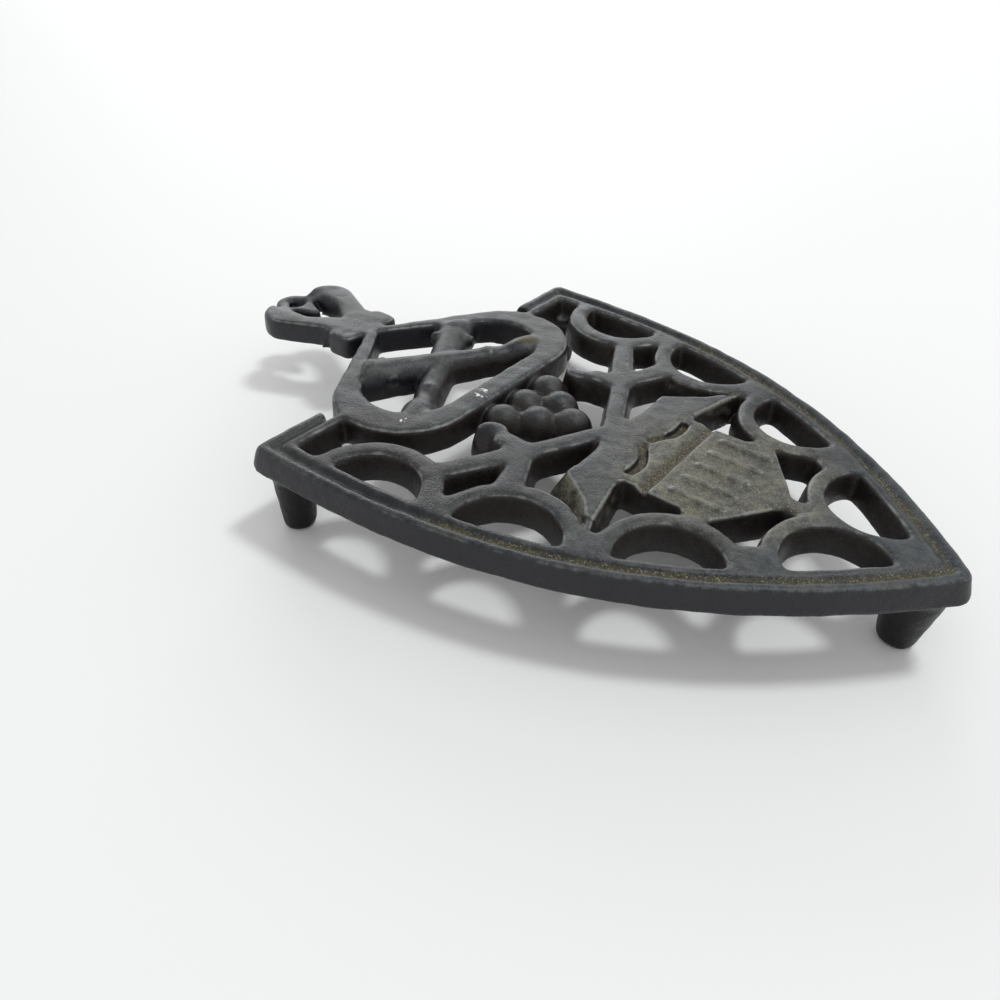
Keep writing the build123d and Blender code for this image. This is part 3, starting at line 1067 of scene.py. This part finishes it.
@dataclass
class Casting:
    """The whole poured trivet: fused, drafted, softened and marked.

    Attributes:
        voxel: Size of the remesh grid, in metres.
        passes: Smoothing passes that round its edges.
        draft: How far an inner wall leans out by its foot, in metres.
        handle_draft: The same for the walls of the loop.
        heart_draft: The same for the walls round the eye of the heart.
        wing_draft: The same for the sloping outer faces of the wings.
        waves: Number of waves that make up the unevenness of hand-made sand moulds.
        waviness: Height of that unevenness, in metres.
        settle: Depth below the top at which dirt lies thickest, in metres.
        heel_half_width: Half of the rim's width at the heel, in millimetres.
        shoulder_half_width: Half-width that fills out the rim's side curve, in millimetres.
        nose_reach: Length of the rim from heel to nose, in millimetres.
        rim_width: Width of the rim from its top edge to the openwork, in millimetres.
        hook: Middle of the dish in a hooked curl, sideways distance second, in millimetres.
        hook_reach: Radius of the dish, in millimetres.
        hook_dish: Depth of the dish, in metres.
        skin: The object, once poured.
        box: Corners of the frame's box, in metres.
        top: Height of the flat tops, in metres.
        under: Height of the underside, in metres.
        heel: Place of the rim's heel, in millimetres.
        marks: Surface attributes at each vertex of the marked skin.
        lookup: Finds the nearest vertex of the marked skin.
    """

    voxel: float = 0.312 * MM
    passes: int = 26
    draft: float = 1.1 * MM
    handle_draft: float = 0.2 * MM
    heart_draft: float = 3.3 * MM
    wing_draft: float = 3.4 * MM
    waves: int = 40
    waviness: float = 0.055 * MM
    settle: float = 0.8 * MM
    heel_half_width: float = 48.9
    shoulder_half_width: float = 45.2
    nose_reach: float = 115.2
    rim_width: float = 5.3
    hook: Pair = (-2.6, 18.3)
    hook_reach: float = 3.2
    hook_dish: float = 2.8 * MM
    skin: Object = field(init=False)
    box: tuple[Vector, Vector] = field(init=False)
    top: float = field(init=False)
    under: float = field(init=False)
    heel: float = field(init=False)
    marks: dict[Mark, np.ndarray] = field(init=False)
    lookup: KDTree = field(init=False)

    # Distances in plan from the rim's top edge and from its heel, in millimetres.
    LEDGE = (3.6, 4.6)
    HANDLE_END = -3.0
    PILE_START = 24.2
    SOFT_END = 1.0
    BRIGHT_END = -1.0
    DIRTY_FROM = (30.0, 46.0)
    # Places in plan in the frame of the part, and reaches round them, in millimetres.
    PILE_TIP = 12.6
    PILE_ROOM = 3.0
    # Where the tops' painted sheen is weaker (the loop's near corner) and stronger (handle, nose).
    UNUSED_ACROSS = (-32.0, -8.0)
    UNUSED_ALONG = (5.0, 35.0)
    HANDLE_WEAR = (-40.0, -50.0)
    NOSE_WEAR = (50.0, 65.0)
    DUST_MIDDLE = 40.0
    DUST_REACH = 20.0
    # Height of the bottom of each cutter, and shortest and longest wave, in millimetres.
    CUTTER_FOOT = -5.0
    WAVE_LENGTHS = (2.5, 12.0)
    # Depths below the flat tops, and below the underside for the slack, in metres.
    EDGE_DEPTH = 0.8 * MM
    EDGE_FADE = 2.5 * MM
    DUST_FADE = 4.0 * MM
    FACE_DEPTH = 0.3 * MM
    BARREL_CROWN = -0.1 * MM
    BARREL_SIDE = 0.5 * MM
    CROWN = 3.0 * MM
    # Shallow reach of the tops' colour on the balls, so that their sides keep the dark skin as painted
    # shade.
    BALL_CROWN = 1.6 * MM
    UNDER_SLACK = 0.3 * MM
    # Bounds of smooth steps on the upward part of a normal.
    UPWARD = (0.3, 0.85)
    SLANTED = (0.50, 0.72)
    LEVEL = (0.94, 0.995)
    HOLLOW_GROUND = (0.1, 0.6)
    FACE_FOOT = (0.15, 0.3)
    FACE_HEAD = (0.6, 0.9)
    # Direction in which a wing's sloping face looks, forwards and outwards, and bounds for facing it.
    FACE_LOOK = (-0.64, 0.76)
    FACING = (0.6, 0.9)
    # Bounds of a smooth step on the level part of a normal.
    WALL = (0.4, 0.9)
    # Share of its lean that a wall round the eye has at its top.
    EYE_SHARE = 0.4
    # Shares of the pull towards the neighbours in a smoothing pass.
    PULL = 0.5
    CRISP = 0.08
    RIM_PULL = 0.30
    # Passes and shares that even out the bend, and bends that show as edges and hollows, per metre.
    EDGE_SPREAD = (2, 0.5)
    HOLLOW_SPREAD = (6, 0.6)
    EDGE_BEND = (150.0, 520.0)
    HOLLOW_BEND = (60.0, 500.0)
    # Strengths of the marks, and where dirt and dust end as shares of their reach.
    LOOP_DIRT = 0.15
    PILE_DIRT = 0.2
    HANDLE_EDGE = 0.8
    RIM_EDGE_LOSS = 0.6
    ROUND_EDGE = 0.35
    SETTLE_END = 3.0
    DUST_EDGE = 1.30
    DUST_STEP = (0.0, 0.7)
    # How much the tops' painted sheen gains on the handle and nose and loses on the loop's near corner.
    HANDLE_GAIN = 0.6
    NOSE_GAIN = 0.4
    UNUSED_LOSS = 0.45

    def pour(self, frame: dict, loop: CannonLoop, feet: list[Foot], material: Material) -> None:
        """Fuses the sections into one skin and shapes it.

        Args:
            frame: The loaded frame.
            loop: The loop, whose balls are made by rule.
            feet: The feet, which are made by rule.
            material: Material for what is made by rule.
        """
        made_by_rule = loop.pile.nodes() + [node for foot in feet for node in foot.nodes()]
        copied = [name for name in frame["nodes"] if name not in made_by_rule]
        self.skin = MeshWork.linked("casting", MeshWork.copy_of(frame, copied))
        work = bmesh.new()
        work.from_mesh(self.skin.data)
        for extra in [loop.pile.mesh(material)] + [foot.mesh(material) for foot in feet]:
            work.from_mesh(extra.data)
            MeshWork.discard(extra)
        work.to_mesh(self.skin.data)
        work.free()
        self.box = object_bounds()
        self.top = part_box("loop_front_bar")[1].z
        self.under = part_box("loop_front_bar")[0].z
        self.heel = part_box("base_bar_right")[1].x / MM - self.rim_width
        MeshWork.changed(self.skin, "REMESH", mode="VOXEL", voxel_size=self.voxel)
        self._lean(loop)
        self._dish()
        MeshWork.changed(self.skin, "REMESH", mode="VOXEL", voxel_size=self.voxel)
        self._soften()
        self._uneven()
        self._mark()

    def _surface(self) -> tuple[np.ndarray, np.ndarray, np.ndarray]:
        """The skin's vertices: their places in metres, their normals and their plan in millimetres."""
        mesh = self.skin.data
        places, normals = np.empty((2, len(mesh.vertices) * 3), np.float32)
        mesh.vertices.foreach_get("co", places)
        mesh.vertex_normals.foreach_get("vector", normals)
        places, normals = (rows.reshape(-1, 3).astype(float) for rows in (places, normals))
        return places, normals, places[:, :2] / MM

    def _rim_half_width(self, along: np.ndarray) -> np.ndarray:
        """Half-width of the rim's top edge at each share of its length."""
        heel = self.heel_half_width * (1 - along) ** 2 * (1 + 2 * along)
        return heel + 3 * self.shoulder_half_width * along ** 2 * (1 - along)

    def _inner(self, flat: np.ndarray) -> np.ndarray:
        """How far each place is inside the rim: 0 on its outer wall and 1 on the openwork.

        Args:
            flat: Places in plan, in millimetres.

        Returns:
            The share for each place.
        """
        along = np.clip((flat[:, 0] - self.heel) / self.nose_reach, 0.0, 1.0)
        sideways = eased(self._rim_half_width(along) - np.abs(flat[:, 1]), *self.LEDGE)
        return sideways * eased(flat[:, 0] - self.heel, *self.LEDGE)

    def _moved(self, places: np.ndarray) -> None:
        """Puts the vertices of the skin at new places inside the box of the frame."""
        kept = np.clip(places, np.array(self.box[0]), np.array(self.box[1]))
        self.skin.data.vertices.foreach_set("co", kept.astype(np.float32).ravel())
        self.skin.data.update()

    def _lean(self, loop: CannonLoop) -> None:
        """Leans the inner walls out towards their feet, as a pattern must to leave the sand."""
        places, normals, flat = self._surface()
        along = flat[:, 0]
        level = np.linalg.norm(normals[:, :2], axis=1)
        share = np.clip((self.top - places[:, 2]) / (self.top - self.under), 0.0, 1.0)
        share *= places[:, 2] > self.under - self.UNDER_SLACK
        in_loop = inside(loop.plan(), flat) | (along < self.heel + self.HANDLE_END)
        by_rule = in_loop & (along > self.heel + self.PILE_START)
        by_rule |= np.hypot(along - self.PILE_TIP, flat[:, 1]) < self.PILE_ROOM
        outward = normals[:, 1] * np.sign(flat[:, 1])
        facing = self.FACE_LOOK[0] * normals[:, 0] + self.FACE_LOOK[1] * outward
        slope = eased(facing, *self.FACING) * WING_FACE.covers(flat)
        amount = (self.draft + (self.wing_draft - self.draft) * slope) * self._inner(flat)
        amount = np.where(in_loop, self.handle_draft, amount)
        heart_back, heart_front = (corner.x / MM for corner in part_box("heart_lobe_left"))
        heart_middle = (heart_back + heart_front) / 2
        facing_eye = normals[:, 0] * (heart_middle - along) - normals[:, 1] * flat[:, 1]
        eye = (along < heart_front) & (facing_eye > 0.0)
        amount = np.where(eye, self.heart_draft, amount)
        amount[by_rule] = 0.0
        lean = np.where(eye, self.EYE_SHARE + (1.0 - self.EYE_SHARE) * share, share)
        move = amount * lean * eased(level, *self.WALL)
        places[:, :2] += normals[:, :2] / np.maximum(level, 1e-6)[:, None] * move[:, None]
        self._moved(places)

    def _dish(self) -> None:
        """Hollows the hooked curls on their outer sides, so that they stay highest near the middle line."""
        places, _, flat = self._surface()
        away = np.hypot(flat[:, 0] - self.hook[0], np.abs(flat[:, 1]) - self.hook[1])
        height = np.clip((places[:, 2] - self.under) / (self.top - self.under), 0.0, 1.0)
        places[:, 2] -= height * self.hook_dish * eased(-away, -self.hook_reach, -self.hook_reach / 2)
        self._moved(places)

    def _soften(self) -> None:
        """Rounds edges and fills corners as poured iron does, least on the rim and the shield."""
        places, _, flat = self._surface()
        openwork = np.where(flat[:, 0] < self.heel + self.SOFT_END, 1.0, self._inner(flat))
        crisp = SHIELD_TOP.covers(flat) | WING_FACE.covers(flat)
        rounded = self.RIM_PULL + (1.0 - self.RIM_PULL) * openwork
        softness = self.PULL * np.where(crisp, self.CRISP, rounded)
        near = Neighbours(self.skin.data)
        for _ in range(self.passes):
            pull = [near.mean(places[:, axis]) - places[:, axis] for axis in range(3)]
            places += np.stack(pull, 1) * softness[:, None]
        self._moved(places)

    def _uneven(self) -> None:
        """Gives the skin the slight unevenness of a hand-made mould."""
        places, normals, _ = self._surface()
        draw = np.random.default_rng(SEED)
        height = np.zeros(len(places))
        for _ in range(self.waves):
            turn = draw.normal(size=3)
            turn *= math.tau / (draw.uniform(*self.WAVE_LENGTHS) * MM * np.linalg.norm(turn))
            height += np.sin(places @ turn + draw.uniform(0.0, math.tau))
        self._moved(places + normals * (height / math.sqrt(self.waves) * self.waviness)[:, None])

    def _bends(self, places: np.ndarray, normals: np.ndarray) -> tuple[np.ndarray, np.ndarray]:
        """How strongly the skin bends at each vertex.

        Args:
            places: Places of the vertices, in metres.
            normals: Their normals.

        Returns:
            The bend, above 0 on edges, and the same evened out further to find hollows, per metre.
        """
        near = Neighbours(self.skin.data)
        sag = sum((near.mean(places[:, axis]) - places[:, axis]) * normals[:, axis] for axis in range(3))
        bend = near.spread(-2.0 * sag / np.maximum(near.reach(places), 1e-12), *self.EDGE_SPREAD)
        return bend, near.spread(bend, *self.HOLLOW_SPREAD)

    def _mark(self) -> None:
        """Works out the surface attributes that the finishes read."""
        places, normals, flat = self._surface()
        along = flat[:, 0]
        rise = normals[:, 2]
        depth = self.top - places[:, 2]
        bend, hollow = self._bends(places, normals)
        inner = self._inner(flat)
        pile = PILE.covers(flat)
        upward = eased(rise, *self.UPWARD)
        near_top = faded(depth - self.EDGE_DEPTH, self.EDGE_FADE)
        sunk = depth / self.settle
        low_ground = np.clip(sunk, 0.0, 1.0) * np.clip(self.SETTLE_END - sunk, 0.0, 1.0)
        beyond_loop = self.LOOP_DIRT + (1.0 - self.LOOP_DIRT) * eased(along - self.heel, *self.DIRTY_FROM)
        from_shield = np.hypot(along - self.DUST_MIDDLE, flat[:, 1]) / self.DUST_REACH
        dusty = eased(self.DUST_EDGE - from_shield, *self.DUST_STEP)
        barrels = (depth < self.BARREL_CROWN) | (BARRELS.covers(flat) & (depth > self.BARREL_SIDE))
        # Bright edges lie on slanted faces; on the ribs also on level ones, as a painted highlight along
        # their ridges.
        shoulder = eased(rise, *self.SLANTED)
        shoulder *= np.where(RIBS.covers(flat), 1.0, 1.0 - eased(rise, *self.LEVEL))
        rim_edge = 1.0 - self.RIM_EDGE_LOSS * (1.0 - inner)
        bright = np.where(along < self.heel + self.BRIGHT_END, self.HANDLE_EDGE, rim_edge)
        bright *= np.where(barrels | pile, self.ROUND_EDGE, 1.0)
        # The wing's sloping face takes the dust colour in full: dust, and painted light that brightens a
        # face turned away from the lamps.
        slope = WING_FACE.covers(flat) * eased(rise, *self.FACE_FOOT) * (1.0 - eased(rise, *self.FACE_HEAD))
        slope *= np.clip(depth / self.FACE_DEPTH, 0.0, 1.0)
        # The tops' colour fades with depth below the flat tops; on the balls it ends sooner, leaving their
        # sides dark as painted shade.
        crown = np.where(pile, self.BALL_CROWN, self.CROWN)
        # Scales the tops' colour by place: worn surface and painted sheen stronger on the handle and nose,
        # painted shade on the loop's near corner.
        shaded_corner = (1.0 - eased(flat[:, 1], *self.UNUSED_ACROSS)) * (1.0 - eased(along, *self.UNUSED_ALONG))
        wear_and_sheen_by_place = 1.0 + self.HANDLE_GAIN * eased(along, *self.HANDLE_WEAR)
        wear_and_sheen_by_place += self.NOSE_GAIN * eased(along, *self.NOSE_WEAR) - self.UNUSED_LOSS * shaded_corner
        in_hollow = eased(-hollow, *self.HOLLOW_BEND) * eased(rise, *self.HOLLOW_GROUND)
        self.marks = {
            # Bright edges: metal worn through, and painted highlight.
            Mark.EDGE: eased(bend, *self.EDGE_BEND) * shoulder * near_top * bright,
            Mark.CREVICE: in_hollow * near_top * beyond_loop,
            Mark.SETTLED: low_ground * upward * beyond_loop * np.where(pile, self.PILE_DIRT, 1.0),
            # Lighter tops: worn surface and painted sheen.
            Mark.TOP: upward * faded(depth, crown) * wear_and_sheen_by_place,
            # Dust, and painted light on the wings' sloping faces.
            Mark.DUST: np.maximum(dusty * upward * faded(depth, self.DUST_FADE), slope),
            Mark.INNER: inner,
        }
        self.lookup = KDTree(len(places))
        for index, place in enumerate(places):
            self.lookup.insert(place, index)
        self.lookup.balance()

    def taken(self, name: str, plan: Plan, ceiling: float) -> Object:
        """Cuts a part out of the skin.

        Args:
            name: Name of the part.
            plan: Its plan, in millimetres.
            ceiling: Height up to which it goes, in millimetres.

        Returns:
            The part, with the marks of the skin.
        """
        cutter = MeshWork.prism("cutter", plan, self.CUTTER_FOOT, ceiling)
        part = MeshWork.linked(name, self.skin.data.copy())
        for piece, operation in ((part, "INTERSECT"), (self.skin, "DIFFERENCE")):
            MeshWork.changed(piece, "BOOLEAN", solver="MANIFOLD", operation=operation, object=cutter)
        MeshWork.discard(cutter)
        MeshWork.tidied(part)
        nearest = [self.lookup.find(vertex.co)[1] for vertex in part.data.vertices]
        for mark, values in self.marks.items():
            layer = part.data.attributes.new(mark.value, "FLOAT", "POINT")
            layer.data.foreach_set("value", values[nearest].astype(np.float32))
        return part


@dataclass(frozen=True)
class Lamp:
    """A soft rectangular light.

    Attributes:
        name: Name of the light.
        place: Its middle, in metres.
        size: Its width and height, in metres.
        power: Its power, in watts.
    """

    name: str
    place: Point
    size: Pair
    power: float


@dataclass
class Studio:
    """Pale floor, soft light from above and behind, and the camera of the photograph.

    Attributes:
        eye: Place of the camera, in metres.
        aim: Point on the floor that the camera looks at, in metres.
        roll: Turn of the camera about its line of sight, in degrees.
        lens: Focal length of the camera, in millimetres.
        sensor: Width of its sensor, in millimetres.
        nearest: Distance from which it sees, in metres.
        floor_size: Width of the floor, in metres.
        floor_colour: Colour of the floor.
        floor_roughness: Roughness of the floor.
        floor_sheen: Strength of the floor's reflections.
        horizon: Strength of the light from all round at floor level.
        zenith: Strength of the light from overhead.
        sky_step: Upward parts of a direction between which the one changes to the other.
        backdrop: Level at which the camera sees the surroundings beyond the floor.
        sky_colour: Colour of the light from all round.
        lamps: The soft lights.
    """

    eye: Point = (0.08114, -0.11947, 0.10475)
    aim: Point = (-0.00091, -0.01372, 0.0)
    roll: float = 1.27
    lens: float = 29.12
    sensor: float = 36.0
    nearest: float = 0.005
    floor_size: float = 24.0
    floor_colour: Colour = (0.945, 0.96, 0.963)
    floor_roughness: float = 0.6
    floor_sheen: float = 0.2
    horizon: float = 1.30
    zenith: float = 0.53
    sky_step: Pair = (0.0, 0.6)
    backdrop: float = 0.82
    sky_colour: Colour = (1.0, 0.995, 0.98)
    lamps: tuple[Lamp, ...] = (
        Lamp("overhead", (0.42, 0.66, 1.85), (0.36, 0.36), 12.9),
        Lamp("window", (-1.30, 1.40, 0.62), (1.60, 0.70), 10.0),
    )

    def build(self) -> None:
        """Makes the floor, the lights and the camera."""
        self._floor()
        self._light()
        self._sky()
        self._camera()
        bpy.context.scene.view_settings.view_transform = "Standard"

    def _floor(self) -> None:
        """Makes the pale floor that the trivet stands on."""
        half = self.floor_size / 2
        corners = [(-half, -half, 0), (half, -half, 0), (half, half, 0), (-half, half, 0)]
        mesh = bpy.data.meshes.new("floor")
        mesh.from_pydata(corners, [], [(0, 1, 2, 3)])
        floor = MeshWork.linked("floor", mesh)
        material = bpy.data.materials.new("pale_floor")
        material.use_nodes = True
        work = ShaderWork(material.node_tree)
        work.fill(work.tree.nodes["Principled BSDF"], {
            "Base Color": (*self.floor_colour, 1.0),
            "Roughness": self.floor_roughness,
            "Specular IOR Level": self.floor_sheen,
        })
        mesh.materials.append(material)
        floor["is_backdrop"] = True

    def _light(self) -> None:
        """Makes the lamps, turned towards the middle of the floor."""
        for lamp in self.lamps:
            data = bpy.data.lights.new(lamp.name, "AREA")
            data.shape = "RECTANGLE"
            data.size, data.size_y = lamp.size
            data.energy = lamp.power
            holder = bpy.data.objects.new(lamp.name, data)
            place = Vector(lamp.place)
            holder.location = place
            holder.rotation_euler = (-place).to_track_quat("-Z", "Y").to_euler()
            bpy.context.scene.collection.objects.link(holder)

    def _sky(self) -> None:
        """Makes the light from all round, and the plain backdrop that the camera sees instead of it."""
        world = bpy.data.worlds.new("studio")
        world.use_nodes = True
        work = ShaderWork(world.node_tree)
        direction = work.tree.nodes.new("ShaderNodeTexCoord").outputs["Generated"]
        rise = work.add("ShaderNodeSeparateXYZ", Vector=direction).outputs["Z"]
        strength = work.line(work.step(rise, self.sky_step), self.zenith - self.horizon, self.horizon)
        seen = work.tree.nodes.new("ShaderNodeLightPath").outputs["Is Camera Ray"]
        unseen = work.maths("MULTIPLY", strength, work.maths("SUBTRACT", 1.0, seen))
        work.fill(work.tree.nodes["Background"], {
            "Color": (*self.sky_colour, 1.0),
            "Strength": work.line(seen, self.backdrop, unseen),
        })
        bpy.context.scene.world = world

    def _camera(self) -> None:
        """Makes the camera at the photograph's place, turned about its line of sight."""
        lens = bpy.data.cameras.new("camera")
        lens.lens = self.lens
        lens.sensor_width = self.sensor
        lens.clip_start = self.nearest
        camera = bpy.data.objects.new("camera", lens)
        eye = Vector(self.eye)
        sight = (Vector(self.aim) - eye).normalized()
        level = sight.cross(Vector((0, 0, 1))).normalized()
        upright = level.cross(sight)
        turn = math.radians(self.roll)
        across = level * math.cos(turn) + upright * math.sin(turn)
        up = upright * math.cos(turn) - level * math.sin(turn)
        axes = Matrix((across, up, -sight)).transposed().to_4x4()
        camera.matrix_world = Matrix.Translation(eye) @ axes
        bpy.context.scene.collection.objects.link(camera)
        bpy.context.scene.camera = camera


RUST: Colour = (0.055, 0.038, 0.008)
FLECK: Colour = (0.75, 0.76, 0.74)

# The cast finish carries painted sheen on the tops, painted highlights on the edges and painted light on the
# wings' sloping faces.
CAST_FINISH = IronFinish(
    name="worn_cast_iron_painted_light",
    stains=(
        Stain((-0.0120, -0.0060, 0.0184), 0.0040, FLECK, 900.0, 0.42),
        Stain((-0.0170, -0.0244, 0.0184), 0.0018, FLECK, 1500.0, 0.44),
        Stain((0.07075, 0.00972, 0.0184), 0.0012, FLECK, 1500.0, 0.46),
        Stain((-0.0192, 0.0187, 0.0188), 0.0038, RUST, 1500.0, 0.78),
    ),
)
FOOT_FINISH = IronFinish(
    name="black_foot_iron",
    skin=(0.004, 0.004, 0.005),
    shade=(0.004, 0.004, 0.005),
    edge_wear=0.2,
    dirtiness=0.3,
    sheen=0.25,
)


def main() -> None:
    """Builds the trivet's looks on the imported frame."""
    logging.basicConfig(level=logging.INFO, format="%(name)s: %(message)s")
    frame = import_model()
    foundry = Foundry(NodeGroups())
    materials = {finish.name: foundry.iron(finish) for finish in (CAST_FINISH, FOOT_FINISH)}
    loop = CannonLoop("cannon_loop", CAST_FINISH)
    feet = [
        Foot("foot_heel_left", FOOT_FINISH, node="heel_foot_left"),
        Foot("foot_heel_right", FOOT_FINISH, node="heel_foot_right"),
        Foot("foot_nose", FOOT_FINISH, node="nose_foot", sole_share=0.593),
    ]
    sections = [
        HeartHandle("heart_handle", CAST_FINISH),
        loop,
        Shield("shield", CAST_FINISH),
        OpenworkSide("openwork_left", CAST_FINISH, side=Side.LEFT),
        OpenworkSide("openwork_right", CAST_FINISH, side=Side.RIGHT),
    ]
    casting = Casting()
    casting.pour(frame, loop, feet, materials[CAST_FINISH.name])
    for section in feet + sections:
        section.build(casting, materials[section.finish.name])
    MeshWork.discard(casting.skin)
    Studio().build()


if __name__ == "__main__":
    main()
